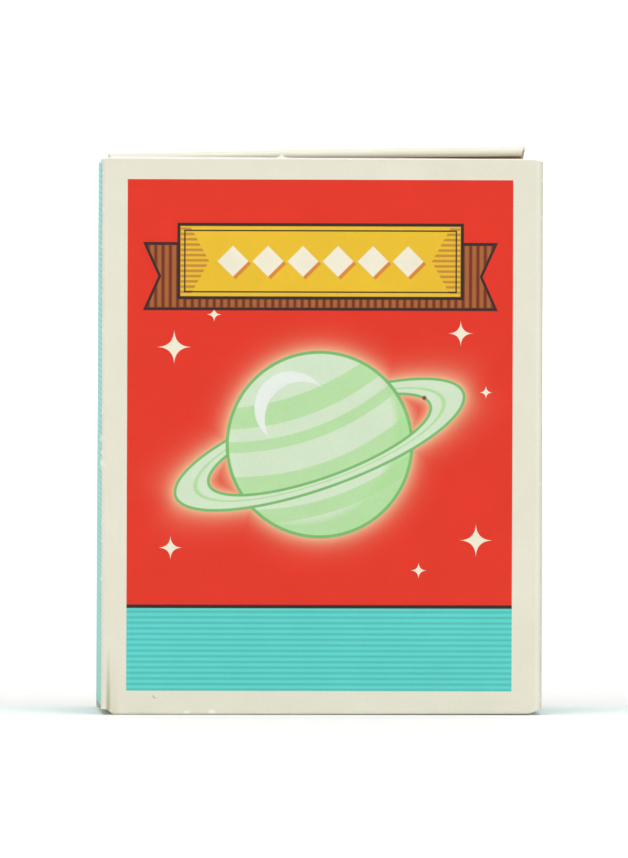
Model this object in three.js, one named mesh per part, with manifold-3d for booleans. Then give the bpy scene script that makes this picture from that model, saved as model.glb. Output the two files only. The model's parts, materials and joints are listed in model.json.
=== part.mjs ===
// A small reverse-tuck folding carton of coated card: a glued sleeve of four panels, closed at
// each end by a hinged lid whose tongue tucks behind the opposite wall, over two dust flaps.
// The top lid hangs on the back panel and the bottom lid on the front panel.
// Millimetres, +Z up, the front faces -Y, and the origin is the middle of the base.

import * as THREE from 'three';
import { mergeVertices } from 'three/addons/utils/BufferGeometryUtils.js';
import Module from 'manifold-3d';

const wasm = await Module();
wasm.setup();

// Sleeve
const WIDTH = 55.5;               // outside, side wall to side wall
const DEPTH = 25;                 // outside, front to back
const HEIGHT = 70;                // base to the top edge
const BOARD = 0.45;               // thickness of the card
const FOLD_INSIDE_RADIUS = 0.2;   // inside of an upright fold
const CREASE_GAP = 0.12;          // play between a wall and the flap that turns on its crease

// Glued seam inside the rear right corner
const SEAM_LAP = 9;               // width of the glue flap along the side wall
const SEAM_END_INSET = 3;         // how far its free edge stops short of the sleeve's ends
const SEAM_END_SLANT = 2.5;       // extra inset at the free edge

// Lid and tongue
const LID_SIDE_MARGIN = 1.55;     // the lid is this much narrower than the sleeve at each side
const TUCK_CLEARANCE = 0.4;       // air between the tongue's crease and the wall before it
const LID_AJAR = 2.5;             // degrees that the top lid stands open
const TONGUE_LENGTH = 10;
const TONGUE_INSET = 1;           // the tongue is this much narrower than the lid at each side
const TONGUE_CORNER = 5;          // radius of its two free corners
const TONGUE_LEAN = 16.5;         // degrees that it folds in past square

// Dust flaps
const LID_PLAY = 0.25;            // air between a shut lid and the dust flaps under it
const DUST_LENGTH = 17.5;
const DUST_SHOULDER = 1.3;        // the full-width strip next to the crease
const DUST_HINGE_SIDE_PLAY = 0.4; // air to the wall that carries the lid
const DUST_TUCK_SIDE_PLAY = 0.8;  // air to the wall that the tongue tucks behind
const DUST_TONGUE_RELIEF = 1.3;   // the edge beside the tongue stands back by this much more
const DUST_TAPER = 0.5;           // slant of the edge next to the lid's crease, width per length
const DUST_CORNER = 2.5;          // radius of the free corner

const CARD_FACE = 0xebe6d6;
const CARD_INSIDE = 0xe4e0d4;
const SIDE_TEAL = 0x68d6cc;
const ARC_STEPS = 8;

const foldRadius = FOLD_INSIDE_RADIUS + BOARD;
const lidWidth = WIDTH - 2 * LID_SIDE_MARGIN;
const creaseInset = BOARD + LID_PLAY;              // the dust flaps' creases lie this far inside
const wallEnd = BOARD + CREASE_GAP;                // a wall stops this far under a flap's outer face
const lidReach = DEPTH - 2 * BOARD - TUCK_CLEARANCE; // from the lid's crease to the tongue's
const degrees = THREE.MathUtils.degToRad;

const carton = new THREE.Group();

function cardMaterial(color, roughness) {
  return new THREE.MeshStandardMaterial({ color, roughness, metalness: 0 });
}

function addPiece(parent, name, geometry, color) {
  const mesh = new THREE.Mesh(geometry, cardMaterial(color, 0.6));
  mesh.name = name;
  parent.add(mesh);
  return mesh;
}

// A closed geometry as a solid that can be joined and cut.
function solidOf(geometry) {
  const bare = geometry.clone();
  bare.deleteAttribute('normal');
  bare.deleteAttribute('uv');
  const merged = mergeVertices(bare, 1e-4);
  const vertProperties = new Float32Array(merged.attributes.position.array);
  const triVerts = new Uint32Array(merged.index.array);
  return new wasm.Manifold(new wasm.Mesh({ numProp: 3, vertProperties, triVerts }));
}

function geometryOf(solid) {
  const mesh = solid.getMesh();
  const geometry = new THREE.BufferGeometry();
  geometry.setAttribute('position', new THREE.BufferAttribute(mesh.vertProperties, mesh.numProp));
  geometry.setIndex(new THREE.BufferAttribute(mesh.triVerts, 1));
  geometry.computeVertexNormals();
  return geometry;
}

// A flat outline in the X-Y plane, made thick from z = low to z = high.
function slab(outline, low, high) {
  const geometry = new THREE.ExtrudeGeometry(outline, {
    depth: high - low,
    bevelEnabled: false,
    curveSegments: ARC_STEPS,
  });
  geometry.translate(0, 0, low);
  return geometry;
}

function polygon(points) {
  return new THREE.Shape(points.map(([x, y]) => new THREE.Vector2(x, y)));
}

// The front panel as seen from the front, u to the right and v up. Its top edge is raw. Its bottom
// edge stops at the lid's crease, and beside the lid at the height of the dust flaps' creases.
function panelOutline(left, right) {
  const lidHalf = lidWidth / 2;
  return polygon([
    [left, creaseInset],
    [-lidHalf, creaseInset],
    [-lidHalf, wallEnd],
    [lidHalf, wallEnd],
    [lidHalf, creaseInset],
    [right, creaseInset],
    [right, HEIGHT],
    [left, HEIGHT],
  ]);
}

// The front panel stands at -Y. The back panel is the same panel turned over, so that its crease is
// at the top, and its right end stops further in, where the glue flap folds behind the side wall.
function addFrontAndBack() {
  const foldLine = WIDTH / 2 - foldRadius;
  const front = slab(panelOutline(-foldLine, foldLine), 0, BOARD);
  front.rotateX(Math.PI / 2);
  front.translate(0, -DEPTH / 2 + BOARD, 0);
  addPiece(carton, 'front_panel', front, CARD_FACE);

  const back = slab(panelOutline(-foldLine, foldLine - BOARD), 0, BOARD);
  back.rotateX(-Math.PI / 2);
  back.translate(0, DEPTH / 2 - BOARD, HEIGHT);
  addPiece(carton, 'back_panel', back, CARD_FACE);
}

// A side wall in plan: a quarter-round fold at the front, the straight wall, and at the back either
// another fold or, on the seam's side, the raw edge. side is -1 for left and +1 for right.
function sidePlan(side, seam) {
  const outer = WIDTH / 2;
  const inner = outer - BOARD;
  const centre = outer - foldRadius;
  const foldY = DEPTH / 2 - foldRadius;
  const points = [];
  const arc = (radius, endY, from, to) => {
    for (let i = 0; i <= ARC_STEPS; i++) {
      const angle = from + ((to - from) * i) / ARC_STEPS;
      points.push([centre + radius * Math.cos(angle), endY + radius * Math.sin(angle)]);
    }
  };
  arc(foldRadius, -foldY, -Math.PI / 2, 0);
  if (seam) {
    points.push([outer, DEPTH / 2], [inner, DEPTH / 2]);
  } else {
    arc(foldRadius, foldY, 0, Math.PI / 2);
    arc(FOLD_INSIDE_RADIUS, foldY, Math.PI / 2, 0);
  }
  arc(FOLD_INSIDE_RADIUS, -foldY, 0, -Math.PI / 2);
  return polygon(points.map(([x, y]) => [side * x, y]));
}

function addSideWalls() {
  const low = creaseInset + wallEnd;
  const high = HEIGHT - low;
  addPiece(carton, 'left_panel', slab(sidePlan(-1, false), low, high), SIDE_TEAL);
  addPiece(carton, 'right_panel', slab(sidePlan(1, true), low, high), SIDE_TEAL);
}

// The glue flap: folded from the back panel's right end and glued flat inside the right wall. Its
// free end is cut on a slant at top and bottom, so that it slips past the dust flaps.
function addGlueFlap() {
  const outer = WIDTH / 2 - BOARD;
  const centre = outer - foldRadius;
  const foldY = DEPTH / 2 - foldRadius;
  const plan = new THREE.Shape();
  plan.moveTo(outer, foldY - SEAM_LAP);
  plan.lineTo(outer, foldY);
  plan.absarc(centre, foldY, foldRadius, 0, Math.PI / 2, false);
  plan.lineTo(centre, DEPTH / 2 - BOARD);
  plan.absarc(centre, foldY, FOLD_INSIDE_RADIUS, Math.PI / 2, 0, true);
  plan.lineTo(outer - BOARD, foldY - SEAM_LAP);
  const strip = slab(plan, 0, HEIGHT);

  const freeEnd = foldY - SEAM_LAP - BOARD;
  const cutLow = creaseInset + wallEnd + SEAM_END_INSET;
  const cut = slab(polygon([
    [freeEnd, cutLow + SEAM_END_SLANT],
    [foldY, cutLow],
    [DEPTH / 2 + BOARD, cutLow],
    [DEPTH / 2 + BOARD, HEIGHT - cutLow],
    [foldY, HEIGHT - cutLow],
    [freeEnd, HEIGHT - cutLow - SEAM_END_SLANT],
  ]), centre - BOARD, WIDTH / 2);
  cut.rotateX(Math.PI / 2);
  cut.rotateZ(Math.PI / 2);
  addPiece(carton, 'glue_flap', geometryOf(solidOf(strip).intersect(solidOf(cut))), CARD_INSIDE);
}

// A flap that turns on a crease along X at the origin and reaches towards -Y. Its crease end is
// rounded about the crease, so it turns in place, and outline, in X and Y, trims it.
function creasedFlap(outline, width, reach) {
  const half = BOARD / 2;
  const section = new THREE.Shape();
  section.moveTo(-reach, -half);
  section.lineTo(0, -half);
  section.absarc(0, 0, half, -Math.PI / 2, Math.PI / 2, false);
  section.lineTo(-reach, half);
  const bar = slab(section, -width / 2, width / 2);
  bar.rotateX(Math.PI / 2);
  bar.rotateZ(Math.PI / 2);
  return geometryOf(solidOf(bar).intersect(solidOf(slab(outline, -BOARD, BOARD))));
}

function lidOutline() {
  const half = lidWidth / 2;
  const frontEdge = -(lidReach - BOARD / 2 - CREASE_GAP);
  return polygon([[-half, BOARD], [-half, frontEdge], [half, frontEdge], [half, BOARD]]);
}

function tongueOutline() {
  const half = lidWidth / 2 - TONGUE_INSET;
  const cornerX = half - TONGUE_CORNER;
  const cornerY = -(TONGUE_LENGTH - TONGUE_CORNER);
  const outline = new THREE.Shape();
  outline.moveTo(half, BOARD);
  outline.lineTo(-half, BOARD);
  outline.lineTo(-half, cornerY);
  outline.absarc(-cornerX, cornerY, TONGUE_CORNER, Math.PI, Math.PI * 1.5, false);
  outline.lineTo(cornerX, -TONGUE_LENGTH);
  outline.absarc(cornerX, cornerY, TONGUE_CORNER, Math.PI * 1.5, Math.PI * 2, false);
  return outline;
}

// A dust flap that reaches towards -Y from its crease. hinge is the side, -1 or +1 along X, on
// which the lid's crease lies: that edge slants away so that the flap stays under the rising lid.
function dustOutline(hinge) {
  const hingeEdge = DEPTH / 2 - BOARD - DUST_HINGE_SIDE_PLAY;
  const tuckEdge = DEPTH / 2 - BOARD - DUST_TUCK_SIDE_PLAY;
  const besideTongue = tuckEdge - DUST_TONGUE_RELIEF;
  const slantStart = DUST_SHOULDER / 2;
  const slantEnd = hingeEdge - DUST_TAPER * (DUST_LENGTH - slantStart);
  const points = [[hingeEdge, BOARD], [hingeEdge, -slantStart], [slantEnd, -DUST_LENGTH]];
  for (let i = 0; i <= ARC_STEPS; i++) {
    const angle = (Math.PI / 2) * (i / ARC_STEPS);
    points.push([
      -(besideTongue - DUST_CORNER + DUST_CORNER * Math.sin(angle)),
      -(DUST_LENGTH - DUST_CORNER + DUST_CORNER * Math.cos(angle)),
    ]);
  }
  points.push([-besideTongue, -DUST_SHOULDER - DUST_TONGUE_RELIEF]);
  points.push([-tuckEdge, -DUST_SHOULDER], [-tuckEdge, BOARD]);
  return polygon(points.map(([x, y]) => [hinge * x, y]));
}

// One end closure as it stands at the top: the lid hangs on the back wall and its tongue goes down
// behind the front wall. ajar is the lid's opening in degrees.
function addClosure(end, ajar) {
  const closure = new THREE.Group();
  carton.add(closure);

  const lid = new THREE.Group();
  lid.position.set(0, DEPTH / 2 - BOARD / 2, HEIGHT - BOARD / 2);
  lid.rotation.x = -degrees(ajar);
  closure.add(lid);
  addPiece(lid, `${end}_lid`, creasedFlap(lidOutline(), lidWidth, lidReach), CARD_FACE);

  const tongue = new THREE.Group();
  tongue.position.y = -lidReach;
  tongue.rotation.x = degrees(90 + TONGUE_LEAN);
  lid.add(tongue);
  const tongueWidth = lidWidth - 2 * TONGUE_INSET;
  const tongueCard = creasedFlap(tongueOutline(), tongueWidth, TONGUE_LENGTH + BOARD);
  addPiece(tongue, `${end}_tongue`, tongueCard, CARD_FACE);

  for (const [side, direction] of [['left', -1], ['right', 1]]) {
    const flap = new THREE.Group();
    flap.position.set(direction * (WIDTH / 2 - BOARD / 2), 0, HEIGHT - creaseInset - BOARD / 2);
    flap.rotation.z = direction * (-Math.PI / 2);
    closure.add(flap);
    const card = creasedFlap(dustOutline(-direction), DEPTH, DUST_LENGTH + BOARD);
    addPiece(flap, `${end}_dust_flap_${side}`, card, CARD_INSIDE);
  }
  return closure;
}

addFrontAndBack();
addSideWalls();
addGlueFlap();
addClosure('top', LID_AJAR);

// The bottom closure is the same one turned half round about X, and it is shut.
const bottom = addClosure('bottom', 0);
bottom.rotation.x = Math.PI;
bottom.position.z = HEIGHT;

export default carton;
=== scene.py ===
import json
import math

import bpy
import numpy as np
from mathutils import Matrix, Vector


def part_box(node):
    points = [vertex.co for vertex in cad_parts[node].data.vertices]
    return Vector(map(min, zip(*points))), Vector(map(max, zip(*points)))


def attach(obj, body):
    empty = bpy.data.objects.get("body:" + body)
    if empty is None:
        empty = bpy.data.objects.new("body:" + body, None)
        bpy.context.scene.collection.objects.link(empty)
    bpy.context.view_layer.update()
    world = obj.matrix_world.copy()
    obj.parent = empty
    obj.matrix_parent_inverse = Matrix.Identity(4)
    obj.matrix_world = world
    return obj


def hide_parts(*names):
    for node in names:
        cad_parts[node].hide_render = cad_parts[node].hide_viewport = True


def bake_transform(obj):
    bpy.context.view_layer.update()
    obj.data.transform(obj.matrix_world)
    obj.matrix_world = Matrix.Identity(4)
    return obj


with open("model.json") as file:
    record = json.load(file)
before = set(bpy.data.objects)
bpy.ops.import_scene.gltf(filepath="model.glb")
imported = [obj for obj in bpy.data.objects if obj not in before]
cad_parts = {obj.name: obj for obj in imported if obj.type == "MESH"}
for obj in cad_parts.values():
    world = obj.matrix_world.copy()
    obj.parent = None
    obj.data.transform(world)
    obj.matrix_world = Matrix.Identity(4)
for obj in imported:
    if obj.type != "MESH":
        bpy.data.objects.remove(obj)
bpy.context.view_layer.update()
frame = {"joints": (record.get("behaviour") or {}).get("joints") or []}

MM = 0.001

# The sleeve: four walls of one sheet of 0.45 mm carton board, scored and folded round, with a glue
# flap inside the rear right corner. The printed face is outside; every rim is a raw die-cut edge.
joints = {joint["name"]: np.array(joint["pos_m"]) for joint in frame["joints"]}
HALF_WIDTH = -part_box("left_panel")[0][0]
HALF_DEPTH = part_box("left_panel")[1][1]
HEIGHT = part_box("front_panel")[1][2]
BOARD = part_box("front_panel")[1][1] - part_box("front_panel")[0][1]
LID_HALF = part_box("top_lid")[1][0]
LAP = HEIGHT - joints["top_dust_flap_left_hinge"][2] - BOARD / 2
UPRIGHT_FOLD_RADIUS = 0.65 * MM  # of the outer face, round each upright corner
CREASE_STRIP = 1.3 * MM          # a flap's own card begins this far from its crease
SEAM_AIR = 0.02 * MM             # between the glue flap and the right wall
SEAM_EDGE_BACK = 0.15 * MM       # the raw edge over the glue flap stops short of the corner
FLAP_BASE_HALF = 11.45 * MM      # half a dust flap's width at its crease
WALL_BOW, SIDE_BOW_SHARE = 0.12 * MM, 0.6          # the walls belly out a little
DENT_X, DENT_TOP, DENT_DEPTH, DENT_WIDTH = -26.75 * MM, 8.4 * MM, 0.13 * MM, 0.3 * MM
# The front's raw top edge: places along it, and how far each lies below the full height.
WORN_TOP_X = np.array([-27.75, -26.35, -24.5, -15.5, -0.9, 10, 20, 25.2, 26.6, 27.75]) * MM
WORN_TOP_DROP = np.array([0.2, -0.14, -0.16, -0.1, 0.01, 0.03, 0.08, 0.08, 0.17, 0.46]) * MM
# The cut corners of the bottom crease: places along it, and how high each cut goes.
CREASE_END_X = np.array([-27.0, -26.2, 26.2, 27.6]) * MM
CREASE_END_RISE = np.array([0.72, 0.12, 0.2, 0.8]) * MM
TUFT_X, TUFT_WIDTH, TUFT_HEIGHT = -5.15 * MM, 0.3 * MM, 0.5 * MM
REAR_RACK = 0.2 * MM             # the rear leans sideways between foot and top
SHARP_ANGLE = math.radians(40)
PLAN_STEPS, RISE_STEPS = (12, 92, 60, 250, 60), 80


def linear(hex_colour):
    """sRGB hex turned to linear RGBA: each channel c is c/12.92 or ((c+0.055)/1.055) to the 2.4."""
    channels = np.array([int(hex_colour[i:i + 2], 16) / 255 for i in (1, 3, 5)])
    low, high = channels / 12.92, ((channels + 0.055) / 1.055) ** 2.4
    return (*np.where(channels <= 0.04045, low, high), 1.0)


def add_node(tree, kind, links=None, **settings):
    """Adds one node, sets its settings, and fills inputs by name or number with values or sockets."""
    node = tree.nodes.new("ShaderNode" + kind)
    for key, value in settings.items():
        setattr(node, key, value)
    for key, value in (links or {}).items():
        if isinstance(value, bpy.types.NodeSocket):
            tree.links.new(value, node.inputs[key])
        else:
            node.inputs[key].default_value = value
    return node.outputs[0] if node.outputs else None


def graded(count):
    """Shares from 0 to 1 that lie close together at both ends: t less a sine of one full turn."""
    t = np.linspace(0, 1, count)
    return t - 0.9 * np.sin(2 * np.pi * t) / (2 * np.pi)


def folded_line(corners, radius, counts, fold_steps=8):
    """A line through corners with its left turns rounded: straight legs with graded points, and
    between them arcs about centres that lie one radius inside both legs. Gives the points, their
    outward normals on the right-hand side, the length so far, and the leg's number, with halves
    on the arcs."""
    corners = np.array(corners, float)
    ways = np.diff(corners, axis=0)
    lengths = np.linalg.norm(ways, axis=1)
    ways /= lengths[:, None]
    rights = np.stack([ways[:, 1], -ways[:, 0]], axis=1)
    turns = np.arccos(np.clip(np.sum(ways[1:] * ways[:-1], axis=1), -1, 1))
    trims = np.concatenate([[0], radius * np.tan(turns / 2), [0]])
    points, normals, legs = [], [], []
    for k, count in enumerate(counts):
        share = graded(count)[:, None]
        start = corners[k] + ways[k] * trims[k]
        end = corners[k + 1] - ways[k] * trims[k + 1]
        points.append(start + (end - start) * share)
        normals.append(np.repeat(rights[k][None], count, axis=0))
        legs.append(np.full(count, float(k)))
        if k < len(turns):
            angle = math.atan2(rights[k][1], rights[k][0])
            angles = angle + turns[k] * np.linspace(0, 1, fold_steps + 1)[1:-1]
            spokes = np.stack([np.cos(angles), np.sin(angles)], axis=1)
            points.append(end - radius * rights[k] + radius * spokes)
            normals.append(spokes)
            legs.append(np.full(len(angles), k + 0.5))
    points, normals, legs = map(np.concatenate, (points, normals, legs))
    along = np.concatenate([[0], np.cumsum(np.linalg.norm(np.diff(points, axis=0), axis=1))])
    return points, normals, along, legs


def card_piece(name, outer, inner, blank):
    """Card between two grids of points, rows by columns: the printed face, the plain face one board
    inside it, and a rim of raw edge round both. blank holds each point's place on the flat sheet.
    The whole carton leans by one shear: x grows with height, in proportion to the way back."""
    for face in (outer, inner):
        to_rear = (face[..., 1] + HALF_DEPTH) / (2 * HALF_DEPTH)
        face[..., 0] += REAR_RACK * (face[..., 2] / HEIGHT - 0.5) * to_rear
    rows, columns = outer.shape[:2]
    o = np.arange(rows * columns).reshape(rows, columns)
    n = o + rows * columns
    quads = [
        np.stack([o[:-1, :-1], o[1:, :-1], o[1:, 1:], o[:-1, 1:]], -1).reshape(-1, 4),
        np.stack([n[:-1, :-1], n[:-1, 1:], n[1:, 1:], n[1:, :-1]], -1).reshape(-1, 4),
        np.stack([o[1:, 0], o[:-1, 0], n[:-1, 0], n[1:, 0]], -1),
        np.stack([o[:-1, -1], o[1:, -1], n[1:, -1], n[:-1, -1]], -1),
        np.stack([o[0, :-1], o[0, 1:], n[0, 1:], n[0, :-1]], -1),
        np.stack([o[-1, 1:], o[-1, :-1], n[-1, :-1], n[-1, 1:]], -1),
    ]
    slots = np.concatenate([np.full(len(q), min(i, 2)) for i, q in enumerate(quads)])
    faces = np.concatenate(quads)
    points = np.concatenate([outer.reshape(-1, 3), inner.reshape(-1, 3)])
    a, b, c, d = (points[faces[:, i]] for i in range(4))
    volume = np.sum(a * (np.cross(b, c) + np.cross(c, d)))
    if volume < 0:
        faces = faces[:, ::-1]
    mesh = bpy.data.meshes.new(name)
    mesh.from_pydata(points.tolist(), [], faces.tolist())
    mesh.polygons.foreach_set("material_index", slots)
    mesh.polygons.foreach_set("use_smooth", np.ones(len(faces), bool))
    sheet = np.concatenate([blank.reshape(-1, 2)] * 2)
    mesh.uv_layers.new(name="blank").data.foreach_set("uv", sheet[faces.reshape(-1)].reshape(-1))
    mesh.set_sharp_from_angle(angle=SHARP_ANGLE)
    mesh.update()
    piece = bpy.data.objects.new(name, mesh)
    bpy.context.scene.collection.objects.link(piece)
    for material in (printed_card, card_back, card_edge):
        mesh.materials.append(material)
    return piece


def wall_bulge(across, up, half):
    """How far a wall bellies out: a half sine across the wall times a half sine up it."""
    share = np.clip((up - CREASE_STRIP) / (HEIGHT - 2 * CREASE_STRIP), 0, 1)
    return np.cos(np.clip(across / half, -1, 1) * np.pi / 2) * np.sin(np.pi * share)


# Offset-printed carton board: solid bleached card with a clay coat and a water-based satin varnish.
# The ink lies in a fine grain of 0.2 to 0.5 mm, and the card's fibres show as a soft unevenness.
INK = {name: linear(value) for name, value in {     # the last six: bare card with a painted highlight, a tan tint, painted shade in grey and brown, a scuff and a speck
    "cream": "#e5e2d0", "red": "#e12500", "teal": "#5bd3cb", "deep_teal": "#49bfb8",
    "yellow": "#e9bd1e", "gold": "#c4862a", "brown": "#280a07", "tan": "#a65d20", "rust": "#6f2100",
    "mint": "#d1e4c7", "shade": "#aadb95", "outline": "#74ba6a", "gleam": "#e6eee6",
    "glow": "#f4dcae", "white": "#f0e9d2", "orange": "#d9832a",
    "bare": "#fbf9f1", "stain": "#cfc6a4", "crack": "#9a9a72", "soil": "#c8983e",
    "scuff": "#b9b7a8", "speck": "#8e2417",
}.items()}
FIELD_LEFT, FIELD_RIGHT, FIELD_LOW, FIELD_HIGH = -24.5, 23.95, 3.02, 67.27   # mm on the front
INK_SOFT, LINE_SOFT = 0.035, 0.05       # how far the edges of areas and of drawn lines fade, mm
PRINT_SKEW = math.radians(0.08)         # the print sits a little askew on the card
printed_card = bpy.data.materials.new("offset_printed_carton_board")
printed_card.use_nodes = True
ink_tree = printed_card.node_tree
ink_tree.nodes.clear()
sheet_place = add_node(ink_tree, "UVMap", uv_map="blank")
sheet_mm = add_node(ink_tree, "VectorMath", {0: sheet_place, 3: 1 / MM}, operation="SCALE")
sheet_skewed = add_node(ink_tree, "VectorRotate", {
    "Vector": sheet_mm, "Center": (0, HEIGHT / MM / 2, 0), "Angle": PRINT_SKEW},
    rotation_type="Z_AXIS")
axes = add_node(ink_tree, "SeparateXYZ", {0: sheet_skewed}).node
ACROSS, UP = axes.outputs[0], axes.outputs[1]
card_place = add_node(ink_tree, "TexCoord").node.outputs["Object"]


def work(operation, a, b=0.0, c=0.0):
    """One sum on the print's lengths in millimetres."""
    return add_node(ink_tree, "Math", {0: a, 1: b, 2: c}, operation=operation)


def ink_over(under, colour, *covers):
    """Lays a colour, given by name or as a socket, over what is printed, where all covers are 1."""
    cover = covers[0]
    for other in covers[1:]:
        cover = work("MULTIPLY", cover, other)
    links = {0: cover, 6: under, 7: INK[colour] if isinstance(colour, str) else colour}
    return add_node(ink_tree, "Mix", links, data_type="RGBA").node.outputs[2]


def inside(distance, soft=INK_SOFT):
    """1 inside a shape and 0 outside it, from its signed distance, with an edge as soft as ink."""
    return add_node(ink_tree, "MapRange", {0: distance, 1: soft, 2: -soft, 3: 0.0, 4: 1.0})


def away(length, middle):
    """How far a length is from its middle value."""
    return work("ABSOLUTE", work("SUBTRACT", length, middle))


def strip(length, middle, half):
    """Signed distance to a strip: how far a length is from its middle, less half the width."""
    return work("SUBTRACT", away(length, middle), half)


def reach_of(a, b):
    """How far two offsets at right angles reach: the root of the sum of their squares."""
    return work("SQRT", work("MULTIPLY_ADD", a, a, work("MULTIPLY", b, b)))


def oblong(x, z, half_width, half_height):
    """Signed distance to an upright rectangle: the larger of both overshoots."""
    return work("MAXIMUM", strip(ACROSS, x, half_width), strip(UP, z, half_height))


def disc(x, z, radius):
    """Signed distance to a disc: the distance to its centre less its radius."""
    return work("SUBTRACT", reach_of(work("SUBTRACT", ACROSS, x), work("SUBTRACT", UP, z)), radius)


def crescent(whole, bite):
    """Signed distance to a disc less the disc that bites into it, each by its x, z and radius."""
    return work("MAXIMUM", disc(*whole), work("SUBTRACT", 0.0, disc(*bite)))


def sparkle(dx, dz, reach):
    """A four-pointed star with hollow sides: the square roots of both offsets sum to one reach's."""
    a = work("SQRT", work("ABSOLUTE", dx))
    b = work("SQRT", work("ABSOLUTE", dz))
    root = math.sqrt(reach)
    return work("MULTIPLY", work("SUBTRACT", work("ADD", a, b), root), 2 * root)


def stripes(length, pitch, share, soft=0.1):
    """1 on stripes that take a share of each pitch along a length."""
    phase = work("FRACT", work("DIVIDE", length, pitch))
    return inside(strip(phase, 0.5, share / 2), soft)


field = inside(oblong((FIELD_LEFT + FIELD_RIGHT) / 2, (FIELD_LOW + FIELD_HIGH) / 2,
                      (FIELD_RIGHT - FIELD_LEFT) / 2, (FIELD_HIGH - FIELD_LOW) / 2))
art = INK["red"]

# The ringed planet with its soft glow, in two greens with a drawn outline. The ring is laid on
# twice: behind the planet, and again over it on the near side of the planet's middle.
PLANET_X, PLANET_Z, PLANET_RADIUS = -0.3, 34.0, 11.6
RING_LONG, RING_SHORT, RING_INNER, RING_TURN = 19.2, 5.4, 0.77, math.radians(20.0)
RING_GAP, RING_GAP_HALF = RING_INNER + 0.09, 0.012       # shares of the ring's reach
RING_LINE, PLANET_LINE = 0.17, 0.2                       # half widths of the drawn outlines
GLOW_FALL, GLOW_COVER = 1.15, 0.72
BELTS = ((-7.6, 0.9), (-3.6, 1.3), (1.6, 0.7), (5.4, 1.4))     # middle and half width
BELT_CURVE, BELT_COVER, DUSK_COVER = 0.016, 0.75, 0.8
GLEAM = (PLANET_X - 3.6, PLANET_Z + 4.6, 4.6)
GLEAM_BITE = (PLANET_X - 2.2, PLANET_Z + 3.2, 4.7)
DAY_SIDE = (PLANET_X - 2.6, PLANET_Z + 2.4, PLANET_RADIUS + 0.6)
cosine, sine = math.cos(RING_TURN), math.sin(RING_TURN)
from_x = work("SUBTRACT", ACROSS, PLANET_X)
from_z = work("SUBTRACT", UP, PLANET_Z)
long_way = work("MULTIPLY_ADD", from_x, cosine, work("MULTIPLY", from_z, sine))
short_way = work("MULTIPLY_ADD", from_z, cosine, work("MULTIPLY", from_x, -sine))
planet = disc(PLANET_X, PLANET_Z, PLANET_RADIUS)
long_share, short_share = work("DIVIDE", long_way, RING_LONG), work("DIVIDE", short_way, RING_SHORT)
ellipse = reach_of(long_share, short_share)
slope = reach_of(work("DIVIDE", long_share, RING_LONG), work("DIVIDE", short_share, RING_SHORT))
ring = work("DIVIDE", strip(ellipse, (1 + RING_INNER) / 2, (1 - RING_INNER) / 2),
            work("DIVIDE", slope, work("MAXIMUM", ellipse, 0.2)))
halo = work("MAXIMUM", work("MINIMUM", planet, ring), 0.0)
glow = work("EXPONENT", work("MULTIPLY", halo, -GLOW_FALL))
art = ink_over(art, "glow", glow, GLOW_COVER)


def ring_ink(under, cover):
    """The ring's pale band with a darker gap and drawn edges, laid on where cover is 1."""
    inked = ink_over(under, "mint", inside(ring), cover)
    inked = ink_over(inked, "shade", inside(strip(ellipse, RING_GAP, RING_GAP_HALF), 0.01), cover)
    return ink_over(inked, "outline", inside(strip(ring, 0.0, RING_LINE), LINE_SOFT), cover)


art = ring_ink(art, 1.0)
on_planet = inside(planet)
art = ink_over(art, "mint", on_planet)
curve = work("MULTIPLY", work("MULTIPLY", long_way, long_way), BELT_CURVE)
latitude = work("SUBTRACT", short_way, curve)
for middle, half in BELTS:
    belt = inside(strip(latitude, middle, half), 0.06)
    art = ink_over(art, "shade", belt, on_planet, BELT_COVER)
dusk = work("SUBTRACT", 0.0, disc(*DAY_SIDE))
art = ink_over(art, "shade", inside(dusk, 0.5), on_planet, DUSK_COVER)
art = ink_over(art, "gleam", inside(crescent(GLEAM, GLEAM_BITE), 0.08), on_planet)
art = ink_over(art, "outline", inside(strip(planet, 0.0, PLANET_LINE), LINE_SOFT))
art = ring_ink(art, inside(short_way, 0.02))

# Four-pointed sparkles in a warm white, scattered round the planet: each by its x and z, and by
# how far its points reach.
SPARKLES = ((-18.6, 46.2, 2.3), (17.4, 48.0, 1.7), (19.4, 22.0, 2.2), (-19.0, 21.0, 1.6),
            (-13.6, 50.3, 1.0), (12.2, 18.2, 1.1), (20.6, 40.6, 0.9))
for x, z, reach in SPARKLES:
    star = sparkle(work("SUBTRACT", ACROSS, x), work("SUBTRACT", UP, z), reach)
    art = ink_over(art, "white", inside(star))

# The straight banner: two striped tails behind a yellow band, which has a hatched end on each side,
# a fine line round it and a row of pale studs, each over its own orange shade.
BANNER_X, BANNER_Z, BANNER_HALF, BANNER_HALF_HEIGHT = -0.25, 57.0, 17.6, 4.4
BANNER_RIM, BANNER_LINE_IN, BANNER_LINE_HALF = 0.4, 0.55, 0.09
TAIL_REACH, TAIL_DROP, TAIL_FORK, TAIL_SLOPE, TAIL_LOWER = 4.4, 1.9, 2.0, 0.45, 0.5
HATCH_DEEP, HATCH_SLOPE = 3.6, 0.55
STUD_PITCH, STUD_REACH, STUD_ROW_HALF = 4.4, 1.95, 13.2
side_way = away(ACROSS, BANNER_X)
tail_way = away(UP, BANNER_Z - TAIL_DROP)
for rim, ink in ((0.38, "brown"), (0.0, "tan")):
    fork = work("MULTIPLY_ADD", tail_way, TAIL_SLOPE, BANNER_HALF + TAIL_REACH + rim - TAIL_FORK)
    tail = work("MAXIMUM", work("SUBTRACT", side_way, fork),
                work("SUBTRACT", tail_way, BANNER_HALF_HEIGHT - TAIL_LOWER + rim))
    art = ink_over(art, ink, inside(tail))
art = ink_over(art, "rust", stripes(side_way, 0.92, 0.45), inside(tail))
banner_rim = oblong(BANNER_X, BANNER_Z, BANNER_HALF + BANNER_RIM, BANNER_HALF_HEIGHT + BANNER_RIM)
art = ink_over(art, "brown", inside(banner_rim))
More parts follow.
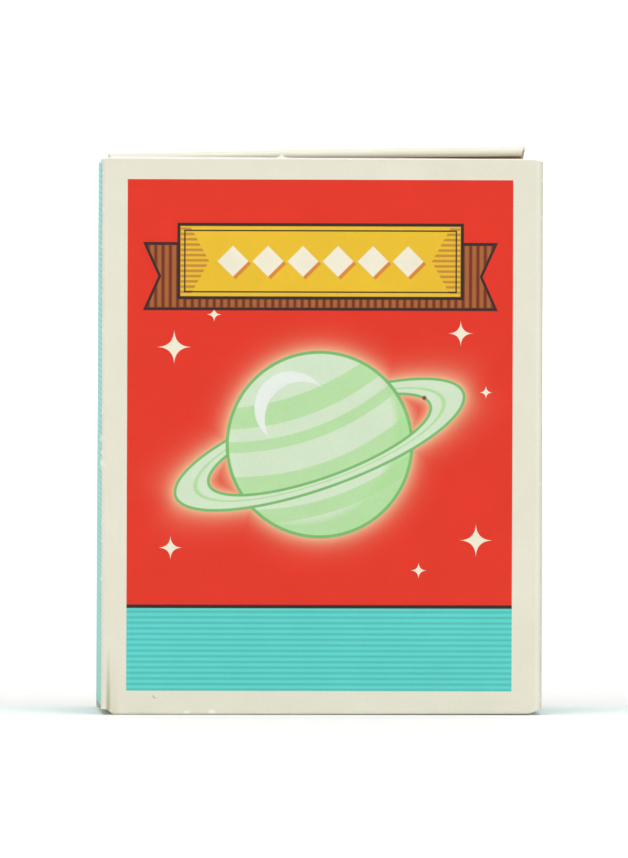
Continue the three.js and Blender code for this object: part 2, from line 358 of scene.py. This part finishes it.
banner = inside(oblong(BANNER_X, BANNER_Z, BANNER_HALF, BANNER_HALF_HEIGHT))
art = ink_over(art, "yellow", banner)
hatch_start = work("MULTIPLY_ADD", away(UP, BANNER_Z), HATCH_SLOPE, BANNER_HALF - HATCH_DEEP)
hatch = inside(work("SUBTRACT", hatch_start, side_way))
art = ink_over(art, "gold", stripes(UP, 0.66, 0.5), hatch, banner)
inner_line = oblong(BANNER_X, BANNER_Z, BANNER_HALF - BANNER_LINE_IN,
                    BANNER_HALF_HEIGHT - BANNER_LINE_IN)
art = ink_over(art, "brown", inside(strip(inner_line, 0.0, BANNER_LINE_HALF)))
for shift, ink in ((0.32, "orange"), (0.0, "white")):
    phase = work("FRACT", work("DIVIDE", work("SUBTRACT", ACROSS, BANNER_X + shift), STUD_PITCH))
    beside = away(work("MULTIPLY", phase, STUD_PITCH), STUD_PITCH / 2)
    stud = work("SUBTRACT", work("ADD", beside, away(UP, BANNER_Z - shift)), STUD_REACH)
    row = work("SUBTRACT", side_way, STUD_ROW_HALF)
    art = ink_over(art, ink, inside(work("MAXIMUM", stud, row)))

# The band along the foot of the picture: teal ink, striped in a deeper teal every 0.7 mm, under a
# dark line.
BAND_TOP, BAND_LINE, STRIPE_PITCH, STRIPE_SOFT = 13.4, 0.45, 0.7, 0.12
band_edge = work("SUBTRACT", UP, BAND_TOP)
art = ink_over(art, "brown", inside(work("SUBTRACT", band_edge, BAND_LINE)))
art = ink_over(art, "teal", inside(band_edge))
art = ink_over(art, "deep_teal", stripes(UP, STRIPE_PITCH, 0.42, STRIPE_SOFT), inside(band_edge))

# The flat sheet: the picture in its cream border, and the teal side walls with faint fine lines.
# The teal runs a little round the left fold, and stops a little past the right one.
front_half = (HALF_WIDTH - UPRIGHT_FOLD_RADIUS * (1 - np.pi / 4)) / MM
side_width = 2 * (HALF_DEPTH - UPRIGHT_FOLD_RADIUS * (1 - np.pi / 4)) / MM
BACK_MIDDLE = -(2 * front_half + side_width) * MM
SIDE_INK_OVERLAP, SIDE_INK_SHORTFALL, SIDE_INK_SHORT = -0.2, 0.5, 0.3
SIDE_COVER, SIDE_LINE_COVER = 0.8, 0.55
printed = ink_over(INK["cream"], art, field)


def side_ink(start, end):
    """Signed distance to one side wall's ink, which stops a little short of the wall's ends."""
    half = HEIGHT / MM / 2
    return oblong((start + end) / 2, half, (end - start) / 2, half - SIDE_INK_SHORT)


on_side = inside(work("MINIMUM",
                      side_ink(-front_half - side_width, -front_half + SIDE_INK_OVERLAP),
                      side_ink(front_half + SIDE_INK_SHORTFALL, front_half + side_width)))
printed = ink_over(printed, "teal", on_side, SIDE_COVER)
side_lines = stripes(UP, STRIPE_PITCH, 0.4, STRIPE_SOFT)
printed = ink_over(printed, "deep_teal", side_lines, on_side, SIDE_LINE_COVER)

# The ink's grain, cloudy wear from handling, and bare card where the coat has cracked along the
# folds or been nicked, and along the front's raw top edge a frayed strip that is also a painted
# highlight.
GRAINS, CLOUDS, FIBRES = 3.6 / MM, 0.21 / MM, 1.3 / MM       # so many of each to a millimetre
RAW_EDGE_BARE_HIGHLIGHT = 0.2
CRACK_COVER, NICK_COVER, FIBRE_FRAY, NICK_FRAY = 0.5, 0.75, 0.14, 0.9
NICKS = (                       # x and z on the flat sheet, half width, half height, in mm
    (-28.9, 34.6, 1.3, 0.5), (-28.0, 32.9, 0.4, 0.25), (-28.8, 31.5, 1.2, 0.65),
    (-28.2, 58.7, 0.3, 0.15), (-28.3, 17.0, 0.4, 0.2), (-14.0, 0.35, 0.5, 0.2), (-16.9, 0.3, 0.3, 0.15))
fine = add_node(ink_tree, "TexNoise", {"Vector": card_place, "Scale": GRAINS, "Detail": 3.0})
cloud = add_node(ink_tree, "TexNoise", {"Vector": card_place, "Scale": CLOUDS, "Detail": 4.0})
fibre = add_node(ink_tree, "TexNoise", {"Vector": card_place, "Scale": FIBRES, "Detail": 4.0})
tone = work("ADD", work("MULTIPLY_ADD", fine, 0.10, 0.90), work("MULTIPLY", cloud, 0.10))
grain = add_node(ink_tree, "Mix", {0: 1.0, 6: printed, 7: tone}, data_type="RGBA",
                 blend_type="MULTIPLY").node.outputs[2]
fold_way = away(work("ABSOLUTE", ACROSS), front_half)
crack = work("MULTIPLY_ADD", fibre, -0.62, 0.36)
cracked = inside(work("ADD", fold_way, work("MULTIPLY", crack, 3.0)), 0.05)
nicks = None
for x, z, half_wide, half_high in NICKS:
    dx = work("DIVIDE", work("SUBTRACT", ACROSS, x), half_wide)
    dz = work("DIVIDE", work("SUBTRACT", UP, z), half_high)
    nick = work("MULTIPLY", work("SUBTRACT", reach_of(dx, dz), 1.0), half_high)
    nicks = nick if nicks is None else work("MINIMUM", nicks, nick)
nicked = inside(work("ADD", nicks, work("MULTIPLY_ADD", fibre, NICK_FRAY, -NICK_FRAY / 2)), 0.12)
# painted highlight: a bright frayed strip along the front's raw top edge, as if that edge were lit from
# above
cut_edge = work("MAXIMUM", work("SUBTRACT", HEIGHT / MM - RAW_EDGE_BARE_HIGHLIGHT, UP),
                work("SUBTRACT", work("ABSOLUTE", ACROSS), front_half + 0.4))
fray = work("MULTIPLY_ADD", fibre, FIBRE_FRAY, -FIBRE_FRAY / 2)
frayed_highlight = inside(work("ADD", cut_edge, fray), 0.05)
bared = work("MAXIMUM", work("MULTIPLY", cracked, CRACK_COVER), work("MULTIPLY", nicked, NICK_COVER))
colour = ink_over(grain, "bare", work("MAXIMUM", bared, frayed_highlight))

# The right-hand fold: a painted highlight as a pale strip beside it, and painted shade as a grey line
# along its middle, where the fold turns away from the light.
# Each mark is a strip by its middle and half width, its soft edge, and how well it covers.
past_fold = work("SUBTRACT", ACROSS, front_half)
# painted highlight: a pale strip just inside the right fold
colour = ink_over(colour, "bare", inside(strip(past_fold, -0.5, 0.12), 0.25), 0.3)
# painted shade: a grey line along the right fold's middle
colour = ink_over(colour, "crack", inside(strip(past_fold, 0.05, 0.05), 0.1), 0.5)

# The dent's crease in painted grey shade, with a tan tint beside it, both strongest at the foot;
# painted brown shade along the top tongue's crease, which fades to the right; on the front a grey scuff
# and one dark speck.
GAP_SHADE_PAST_CREASE, GAP_SHADE_FULL_AT, GAP_SHADE_GONE_AT = 1.15, -10, 12
SCUFF, SCUFF_BITE, SPECK = (-20.9, 2.3, 0.26), (-20.76, 2.42, 0.28), (12.85, 39.9, 0.26)
dent_x = DENT_X / MM
dent_rise = add_node(ink_tree, "MapRange", {0: UP, 1: DENT_TOP / MM, 2: 1.4, 3: 0.0, 4: 1.0})
# a tan tint beside the dent, strongest toward the foot
colour = ink_over(colour, "stain", inside(strip(ACROSS, dent_x + 0.65, 0.25), 0.6), dent_rise, 0.55)
# painted shade: grey in the dent's crease, darkest toward the foot
colour = ink_over(colour, "crack", inside(strip(ACROSS, dent_x, 0.16), 0.22), dent_rise, 0.9)
lid_reach = np.linalg.norm(joints["top_tongue_hinge"] - joints["top_lid_hinge"])
gap_shade_up = (HEIGHT + lid_reach) / MM + GAP_SHADE_PAST_CREASE
gap_shade_side = add_node(ink_tree, "MapRange", {
    0: ACROSS, 1: BACK_MIDDLE / MM + GAP_SHADE_GONE_AT, 2: BACK_MIDDLE / MM + GAP_SHADE_FULL_AT})
# painted shade: a brown band on the top tongue just past its crease, under the lid's front fold
colour = ink_over(colour, "soil", inside(strip(UP, gap_shade_up, 0.4), 0.4), gap_shade_side, 0.75)
colour = ink_over(colour, "scuff", inside(crescent(SCUFF, SCUFF_BITE), 0.05))
colour = ink_over(colour, "speck", inside(disc(*SPECK), 0.1))
roughness = work("MULTIPLY_ADD", fibre, 0.16, 0.38)
bump = add_node(ink_tree, "Bump", {"Strength": 0.22, "Distance": 0.04 * MM,
                                  "Height": work("MULTIPLY_ADD", fine, 0.4, fibre)})
varnished = add_node(ink_tree, "BsdfPrincipled", {
    "Base Color": colour, "Roughness": roughness, "Normal": bump, "IOR": 1.48})
add_node(ink_tree, "OutputMaterial", {"Surface": varnished})

# Uncoated back of the board: bleached pulp, only pressed smooth when the board was made. It is dull
# and a little rough, with a few darker fibres.
PULP_GRAINS, FLECKS = 0.9 / MM, 2.6 / MM        # so many of each to a millimetre
card_back = bpy.data.materials.new("uncoated_board_back")
card_back.use_nodes = True
back_tree = card_back.node_tree
back_tree.nodes.clear()
back_place = add_node(back_tree, "TexCoord").node.outputs["Object"]
pulp = add_node(back_tree, "TexNoise", {"Vector": back_place, "Scale": PULP_GRAINS, "Detail": 6.0})
flecks = add_node(back_tree, "TexNoise", {"Vector": back_place, "Scale": FLECKS, "Detail": 2.0})
fleck_cover = add_node(back_tree, "MapRange", {0: flecks, 1: 0.66, 2: 0.74, 3: 0.0, 4: 0.35})
pulp_tone = add_node(back_tree, "Mix", {0: pulp, 6: linear("#d8d2c2"), 7: linear("#ebe7da")},
                     data_type="RGBA").node.outputs[2]
pulp_colour = add_node(back_tree, "Mix", {0: fleck_cover, 6: pulp_tone, 7: linear("#b3a68c")},
                       data_type="RGBA").node.outputs[2]
pulp_bump = add_node(back_tree, "Bump", {"Strength": 0.35, "Distance": 0.06 * MM, "Height": pulp})
dull = add_node(back_tree, "BsdfPrincipled", {
    "Base Color": pulp_colour, "Roughness": 0.86, "Normal": pulp_bump, "IOR": 1.5})
add_node(back_tree, "OutputMaterial", {"Surface": dull})

# Raw die-cut edge: plies of white fibre, partly torn as the cutting rule goes through. It is dull,
# uneven and brighter than either face.
PLY_GRAINS = 3.0 / MM                           # so many to a millimetre
card_edge = bpy.data.materials.new("die_cut_board_edge")
card_edge.use_nodes = True
edge_tree = card_edge.node_tree
edge_tree.nodes.clear()
edge_place = add_node(edge_tree, "TexCoord").node.outputs["Object"]
plies = add_node(edge_tree, "TexNoise", {"Vector": edge_place, "Scale": PLY_GRAINS, "Detail": 5.0})
ply_colour = add_node(edge_tree, "Mix", {0: plies, 6: linear("#e2dccb"), 7: linear("#fbf8ef")},
                      data_type="RGBA").node.outputs[2]
ply_bump = add_node(edge_tree, "Bump", {"Strength": 0.5, "Distance": 0.08 * MM, "Height": plies})
torn = add_node(edge_tree, "BsdfPrincipled", {
    "Base Color": ply_colour, "Roughness": 0.92, "Normal": ply_bump, "IOR": 1.5})
add_node(edge_tree, "OutputMaterial", {"Surface": torn})

# The sleeve's card: from the glue flap's free edge round the back, left, front and right walls.
# Its plan is one folded line, and each point of that line runs from the foot's edge to the top's.
GLUE_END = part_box("glue_flap")[0][1]
GLUE_LOW, GLUE_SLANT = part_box("glue_flap")[0][2], 2.5 * MM
seam_x = HALF_WIDTH - BOARD - SEAM_AIR
plan, plan_normals, along, leg = folded_line(
    [(seam_x, GLUE_END), (seam_x, HALF_DEPTH), (-HALF_WIDTH, HALF_DEPTH), (-HALF_WIDTH, -HALF_DEPTH),
     (HALF_WIDTH, -HALF_DEPTH), (HALF_WIDTH, HALF_DEPTH - SEAM_EDGE_BACK)],
    UPRIGHT_FOLD_RADIUS, PLAN_STEPS)
x, y = plan[:, 0], plan[:, 1]
front_rows = np.where(leg == 3)[0]
front_middle = np.interp(0.0, x[front_rows], along[front_rows])
# leg is 0 on the glue flap, 1 at the back, 2 left, 3 in front, 4 right, and halves at the folds.
in_glue, on_back, on_front = leg <= 0.5, leg == 1, leg == 3
on_front_folds = (leg >= 2.5) & (leg <= 3.5)
on_sides = (leg == 2) | (leg == 4)
beside_lid = np.abs(x) < LID_HALF
beside_flap = np.abs(y) < FLAP_BASE_HALF
glue_cut = GLUE_LOW + GLUE_SLANT * np.clip((HALF_DEPTH - y) / (HALF_DEPTH - GLUE_END), 0, 1)
end_gap = np.full(len(x), LAP)
end_gap = np.where(on_sides & beside_flap, LAP + CREASE_STRIP, end_gap)
lid_gap = np.where(on_back & beside_lid, CREASE_STRIP, end_gap)
raw_edge = np.interp(x, WORN_TOP_X, WORN_TOP_DROP)
raw_edge -= TUFT_HEIGHT * np.exp(-((x - TUFT_X) / TUFT_WIDTH) ** 2)
front_end = np.where(on_front_folds, raw_edge, lid_gap)
top_gap = np.where(in_glue, glue_cut, front_end)
crease_end = np.interp(x, CREASE_END_X, CREASE_END_RISE)
bottom_lid_gap = np.where(on_front_folds, np.where(beside_lid, CREASE_STRIP, crease_end), end_gap)
bottom_gap = np.where(in_glue, glue_cut, np.where((leg >= 1) & (leg <= 1.5), 0.0, bottom_lid_gap))
up = bottom_gap + (HEIGHT - top_gap - bottom_gap) * graded(RISE_STEPS)[:, None]
side_bulge = wall_bulge(y, up, HALF_DEPTH) * SIDE_BOW_SHARE
bulge = np.where(on_back | on_front, wall_bulge(x, up, HALF_WIDTH), side_bulge)
bulge = np.where(in_glue | (leg % 1 > 0), 0.0, bulge) * WALL_BOW
dent_span = np.clip((DENT_TOP - up) / (DENT_TOP - 2 * LAP), 0, 1)
dent = DENT_DEPTH * np.exp(-((x - DENT_X) / DENT_WIDTH) ** 2) * dent_span * (on_front | (leg == 2.5))
push = bulge - dent
outer = np.stack(np.broadcast_arrays(
    x + plan_normals[:, 0] * push, y + plan_normals[:, 1] * push, up), axis=-1)
inner = outer - np.append(plan_normals, np.zeros((len(x), 1)), axis=1) * BOARD
blank = np.stack(np.broadcast_arrays(along - front_middle, up), axis=-1)
sleeve = card_piece("card_sleeve", outer, inner, blank)
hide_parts("front_panel", "back_panel", "left_panel", "right_panel", "glue_flap")
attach(sleeve, "sleeve")

# The two lids: each is the card that goes on from one wall's end over its crease and across to the
# tongue's crease, held by the scored board alone. The top one stands ajar with its front edge a
# little warped, and the bottom one is shut.
TONGUE_STRIP = 1.4 * MM          # the tongue's own card begins this far before its crease
LID_LIFT_X = np.array([-26.3, -24.5, -15.6, -0.9, 9.9, 20.1, 26.3]) * MM
LID_LIFT = np.array([-0.56, -0.54, -0.35, 0.05, 0.25, 0.4, 0.5]) * MM
LID_SHIFT = -0.75 * MM           # the top lid's front edge has slid to the left
LID_STEPS, LID_COLUMNS = (8, 40), 60
FOLD_MARGIN = 0.1 * MM           # each fold's start and stop points are set this far outside it
CREASE_LIFT = 0.1 * MM           # the bottom crease runs up a little to the right
ajar = math.atan2(joints["top_tongue_hinge"][2] - joints["top_lid_hinge"][2],
                  joints["top_lid_hinge"][1] - joints["top_tongue_hinge"][1])


def turned_over(points):
    """The bottom closure is the top one turned half round about X through the carton's middle."""
    return points * np.array([1, -1, -1]) + np.array([0, 0, HEIGHT])


def offset_corner(hinge, way_in, way_out):
    """Where the outer faces of two panels meet: half a board outside the crease's axis on both."""
    half_turn = np.arccos(np.clip(np.dot(way_in, way_out), -1, 1)) / 2
    outward = way_in - way_out
    return hinge + outward / np.linalg.norm(outward) * (BOARD / 2) / math.cos(half_turn)


def settle(points, warped):
    """The top lid's warp, where warped is true: a lift that is read off along the front edge, from
    left to right, and one shift to the left, both in proportion to the distance from the hinge."""
    share = np.clip((HALF_DEPTH - points[..., 1]) / (2 * HALF_DEPTH), 0, 1) * warped
    lift = np.interp(points[..., 0], LID_LIFT_X, LID_LIFT)
    return points + np.stack([LID_SHIFT * share, 0 * share, lift * share], axis=-1)


def flap_grids(line, normals, low, high, columns, to_place):
    """A flap's two faces, and each point's place across: rows along a folded line, columns from low
    to high across it, and the plain face one board inside the printed one."""
    share = graded(columns)[None, :]
    across = low[:, None] + (high - low)[:, None] * share
    faces = [to_place(across, (line - normals * depth)[:, None, :]) for depth in (0.0, BOARD)]
    return faces[0], faces[1], across


def lid_place(across, line):
    """Puts a lid's or tongue's side view, (y, z), at each place across it, x."""
    return np.stack(np.broadcast_arrays(across, line[..., 0], line[..., 1]), axis=-1)


def lid_blank(end, across, beyond):
    """A place on the flat sheet, beyond the end of the back wall above or the front wall below."""
    if end == "top":
        return np.stack(np.broadcast_arrays(BACK_MIDDLE - across, HEIGHT + beyond), axis=-1)
    return np.stack(np.broadcast_arrays(across, -beyond), axis=-1)


for end, lean, fold_radius in (("top", ajar, 0.55 * MM), ("bottom", 0.0, 0.47 * MM)):
    up_wall, over = np.array([0.0, 1.0]), np.array([-math.cos(lean), math.sin(lean)])
    hinge = joints["top_lid_hinge"][1:]
    corner = offset_corner(hinge, up_wall, over)
    last = hinge + over * (lid_reach - TONGUE_STRIP) + np.array([over[1], -over[0]]) * BOARD / 2
    line, normals, along, leg = folded_line(
        [(HALF_DEPTH, HEIGHT - CREASE_STRIP), corner, last], fold_radius, LID_STEPS)
    side = np.full(len(line), LID_HALF)
    outer, inner, across = flap_grids(line, normals, -side, side, LID_COLUMNS, lid_place)
    outer, inner = settle(outer, end == "top"), settle(inner, end == "top")
    blank = lid_blank(end, across, along[:, None] - CREASE_STRIP)
    start = np.array([0, HALF_DEPTH, HEIGHT - fold_radius - FOLD_MARGIN])
    stop = np.array([0, HALF_DEPTH - fold_radius - FOLD_MARGIN, HEIGHT])
    if end == "bottom":
        outer, inner, start, stop = map(turned_over, (outer, inner, start, stop))
        for face in (outer, inner):
            by_crease = np.clip(1 - face[..., 2] / CREASE_STRIP, 0, 1)
            by_crease *= np.clip(-face[..., 1] / HALF_DEPTH, 0, 1)
            face[..., 2] += CREASE_LIFT * by_crease * (face[..., 0] / LID_HALF + 1) / 2
    lid = card_piece(f"{end}_lid_card", outer, inner, blank)
    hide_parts(f"{end}_lid")
    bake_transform(lid)

# The two tongues: the lid's last strip, its second crease and the tuck flap with rounded corners,
# which holds the lid by friction behind the opposite wall. Below its crease each is hollowed in.
TONGUE_LENGTH, TONGUE_CORNER = 10 * MM, 5 * MM
TONGUE_STEPS, TONGUE_COLUMNS = (8, 44), 60
TONGUE_TAPER_AT = np.array([-0.2, 1.3, 5.0]) * MM     # past the crease, and off each side there
TONGUE_TAPER = np.array([0.0, 0.4, 1.0]) * MM
TONGUE_STEP_AT = np.array([0.3, 0.6, 1.0, 6.0]) * MM
TONGUE_STEP = np.array([0.0, 0.5, 0.62, 0.0]) * MM    # how deep it is hollowed, past the fold
GAPE_X, GAPE = np.array([-24.0, 0.0, 20.0]) * MM, np.array([0.3, 0.8, 1.0])   # shares of that
TONGUE_FOLD_RADIUS = 0.75 * MM
TONGUE_LEAN = math.radians(16.5)                      # past square to the lid
tongue_turn = math.pi / 2 + TONGUE_LEAN
for end, lean in (("top", ajar), ("bottom", 0.0)):
    over = np.array([-math.cos(lean), math.sin(lean)])
    down = np.array([over[0] * math.cos(tongue_turn) - over[1] * math.sin(tongue_turn),
                     over[0] * math.sin(tongue_turn) + over[1] * math.cos(tongue_turn)])
    hinge = joints["top_lid_hinge"][1:] + over * lid_reach
    lid_outside = np.array([over[1], -over[0]]) * BOARD / 2
    first = hinge - over * TONGUE_STRIP + lid_outside
    corner = offset_corner(hinge, over, down)
    tip = hinge + down * TONGUE_LENGTH + np.array([down[1], -down[0]]) * BOARD / 2
    line, normals, along, leg = folded_line(
        [first, corner, tip], TONGUE_FOLD_RADIUS, TONGUE_STEPS)
    from_crease = along - along[leg == 0].max()
    below_fold = along - along[leg == 1].min()
    hollow = np.interp(below_fold, TONGUE_STEP_AT, TONGUE_STEP)[:, None]
    round_off = np.clip(along - along[-1] + TONGUE_CORNER, 0, TONGUE_CORNER)
    side = LID_HALF - np.interp(from_crease, TONGUE_TAPER_AT, TONGUE_TAPER)
    side = side - TONGUE_CORNER + np.sqrt(np.maximum(TONGUE_CORNER ** 2 - round_off ** 2, 0))
    outer, inner, across = flap_grids(line, normals, -side, side, TONGUE_COLUMNS, lid_place)
    gape = hollow * np.interp(across, GAPE_X, GAPE)
    for face in (outer, inner):
        face[..., 1] -= normals[:, :1] * gape
        face[..., 2] -= normals[:, 1:] * gape
    outer, inner = settle(outer, end == "top"), settle(inner, end == "top")
    blank = lid_blank(end, across, lid_reach - TONGUE_STRIP + along[:, None])
    start, stop = np.append(0.0, line[leg == 0][-1]), np.append(0.0, line[leg == 1][0])
    if end == "bottom":
        outer, inner, start, stop = map(turned_over, (outer, inner, start, stop))
    tongue = card_piece(f"{end}_tongue_card", outer, inner, blank)
    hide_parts(f"{end}_tongue")
    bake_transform(tongue)

# The four dust flaps: each goes on from a side wall over its crease and in under the lid, slanted
# beside the lid's crease and set back beside the tongue. Its crease alone joins it to the wall.
DUST_LENGTH, DUST_TAPER, DUST_CORNER = 17.5 * MM, 0.5, 2.5 * MM
DUST_SHOULDER, FRONT_CUT_WIDTH = 0.65 * MM, 0.35 * MM
DUST_CREASE_RADIUS = 0.5 * MM
DUST_SAG, DUST_SAG_REACH = 0.35 * MM, 3.0 * MM    # the lid has pressed the flaps in a little
DUST_STEPS, DUST_COLUMNS = (8, 50), 34
BACK_AIR, TONGUE_AIR = 0.4 * MM, 2.1 * MM         # from the back wall, and from the front one
hinge_edge = HALF_DEPTH - BOARD - BACK_AIR
beside_tongue = HALF_DEPTH - BOARD - TONGUE_AIR
dust_hinge = np.array([HALF_WIDTH - BOARD / 2, HEIGHT - LAP - BOARD / 2])


def dust_place(across, line):
    """Puts a dust flap's front view, (x, z), at each place across it, y."""
    return np.stack(np.broadcast_arrays(line[..., 0], across, line[..., 1]), axis=-1)


for end in ("top", "bottom"):
    for side_name, side in (("left", -1), ("right", 1)):
        up_wall, over = np.array([0.0, 1.0]), np.array([-1.0, 0.0])
        corner = offset_corner(dust_hinge, up_wall, over)
        tip = dust_hinge + over * DUST_LENGTH + np.array([0, BOARD / 2])
        line, normals, along, leg = folded_line(
            [(HALF_WIDTH, HEIGHT - LAP - CREASE_STRIP), corner, tip],
            DUST_CREASE_RADIUS, DUST_STEPS)
        out = np.clip(dust_hinge[0] - line[:, 0], 0, DUST_LENGTH)
        line[:, 1] -= DUST_SAG * np.sin(np.pi / 2 * np.clip(out / DUST_SAG_REACH, 0, 1)) ** 2
        slant = DUST_TAPER * np.maximum(out - DUST_SHOULDER, 0)
        high = np.minimum(hinge_edge - slant, FLAP_BASE_HALF)
        step = np.clip(out / FRONT_CUT_WIDTH, 0, 1)
        near_tip = np.clip(out - DUST_LENGTH + DUST_CORNER, 0, DUST_CORNER)
        corner_cut = DUST_CORNER - np.sqrt(np.maximum(DUST_CORNER ** 2 - near_tip ** 2, 0))
        low = -FLAP_BASE_HALF + (FLAP_BASE_HALF - beside_tongue) * step + corner_cut
        mirror = np.array([side, 1])
        outer, inner, across = flap_grids(
            line * mirror, normals * mirror, low, high, DUST_COLUMNS, dust_place)
        middle = side * (front_half + side_width / 2) * MM
        rise_on = HEIGHT - LAP - CREASE_STRIP + along[:, None]
        blank = np.stack(np.broadcast_arrays(middle + side * across, rise_on), axis=-1)
        fold_half = DUST_CREASE_RADIUS + FOLD_MARGIN
        start = np.array([side * HALF_WIDTH, 0, HEIGHT - LAP - fold_half])
        stop = np.array([side * (HALF_WIDTH - fold_half), 0, HEIGHT - LAP])
        if end == "bottom":
            outer, inner, start, stop = map(turned_over, (outer, inner, start, stop))
            blank = blank * np.array([1, -1]) + np.array([0, HEIGHT])
        flap = card_piece(f"{end}_dust_flap_{side_name}_card", outer, inner, blank)
        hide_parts(f"{end}_dust_flap_{side_name}")
        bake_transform(flap)

# The studio: a round cove of white paper for floor and wall, open above to a soft sky, with two
# large lamps in front, one above, and one that lights the wall behind. The cove's section is a flat
# floor, a quarter of a circle and an upright wall, turned round the middle.
COVE_FLOOR, COVE_BEND, COVE_HEIGHT, COVE_SIDES, BEND_STEPS = 4.2, 0.8, 2.8, 96, 20
FLOOR_RINGS = (0.02, 0.5)
SKY_STRENGTH = 0.33
bend_angle = np.linspace(0, np.pi / 2, BEND_STEPS)
cove_radius = np.concatenate([
    FLOOR_RINGS, COVE_FLOOR + COVE_BEND * np.sin(bend_angle), [COVE_FLOOR + COVE_BEND]])
cove_height = np.concatenate([[0, 0], COVE_BEND * (1 - np.cos(bend_angle)), [COVE_HEIGHT]])
bearing = np.linspace(0, 2 * np.pi, COVE_SIDES, endpoint=False)[:, None]
grid = np.stack(np.broadcast_arrays(
    cove_radius * np.cos(bearing), cove_radius * np.sin(bearing), cove_height), axis=-1)
index = np.arange(grid.shape[0] * grid.shape[1]).reshape(grid.shape[:2])
around = np.roll(index, -1, axis=0)
quads = np.stack([index[:, :-1], index[:, 1:], around[:, 1:], around[:, :-1]], axis=-1)
quads = quads.reshape(-1, 4)
cove_mesh = bpy.data.meshes.new("paper_cove")
cove_mesh.from_pydata(grid.reshape(-1, 3).tolist(), [], quads.tolist() + [index[:, 0].tolist()])
cove_mesh.polygons.foreach_set("use_smooth", np.ones(len(quads) + 1, bool))
cove_paper = bpy.data.materials.new("white_backdrop_paper")
cove_paper.use_nodes = True
cove_tree = cove_paper.node_tree
cove_tree.nodes.clear()
matt = add_node(cove_tree, "BsdfPrincipled", {"Base Color": linear("#f8f8f7"), "Roughness": 0.9})
add_node(cove_tree, "OutputMaterial", {"Surface": matt})
cove_mesh.materials.append(cove_paper)
cove = bpy.data.objects.new("paper_cove", cove_mesh)
bpy.context.scene.collection.objects.link(cove)

world = bpy.data.worlds.new("soft_sky")
world.use_nodes = True
sky = world.node_tree.nodes["Background"]
sky.inputs["Color"].default_value = (1.0, 1.0, 1.0, 1.0)
sky.inputs["Strength"].default_value = SKY_STRENGTH
bpy.context.scene.world = world
for name, spot, aimed_at, size, power in (
        ("softbox_left", (-1.0, -1.35, 1.3), (0.0, 0.0, 0.035), 1.2, 8.6),
        ("softbox_right", (1.0, -1.35, 1.3), (0.0, 0.0, 0.035), 1.2, 8.0),
        ("softbox_top", (0.0, -0.22, 1.6), (0.0, 0.0, 0.0), 1.4, 17.0),
        ("backdrop_lamp", (0.0, 2.1, 2.3), (0.0, 4.4, 0.0), 2.0, 78.0)):
    lamp = bpy.data.lights.new(name, "AREA")
    lamp.size, lamp.energy = size, power
    holder = bpy.data.objects.new(name, lamp)
    holder.location = spot
    aim = Vector(aimed_at) - holder.location
    holder.rotation_euler = aim.to_track_quat("-Z", "Y").to_euler()
    bpy.context.scene.collection.objects.link(holder)

# The camera: a long lens two metres off, a little to the left and above, level to a tenth degree.
# Its focal length makes the carton's front as tall in the picture as it is in the photo.
CAMERA_DISTANCE, CAMERA_AZIMUTH, CAMERA_HEIGHT_ANGLE, CAMERA_ROLL = 2.0, -1.85, 1.4, 0.12
PHOTO_TALL_PX, CARTON_TALL_PX = 858, 557.3
SENSOR_WIDTH, CLIP_END = 36.0, 20.0
AIM_SIDE, AIM_UP = -1.0 * MM, 0.95 * MM
azimuth, height_angle = math.radians(CAMERA_AZIMUTH), math.radians(CAMERA_HEIGHT_ANGLE)
back = Vector((math.sin(azimuth) * math.cos(height_angle),
                  -math.cos(azimuth) * math.cos(height_angle), math.sin(height_angle)))
facing = (-back).to_track_quat("-Z", "Y")
target = Vector((0, -HALF_DEPTH, HEIGHT / 2)) + facing @ Vector((AIM_SIDE, AIM_UP, 0))
camera_data = bpy.data.cameras.new("camera")
camera_data.sensor_width = SENSOR_WIDTH
view_tall = HEIGHT * PHOTO_TALL_PX / CARTON_TALL_PX
camera_data.lens = SENSOR_WIDTH * CAMERA_DISTANCE / view_tall
camera_data.clip_end = CLIP_END
camera = bpy.data.objects.new("camera", camera_data)
camera.location = target + back * CAMERA_DISTANCE
camera.rotation_euler = facing.to_euler()
camera.rotation_euler.rotate_axis("Z", math.radians(CAMERA_ROLL))
bpy.context.scene.collection.objects.link(camera)
bpy.context.scene.camera = camera
bpy.context.scene.view_settings.view_transform = "Standard"
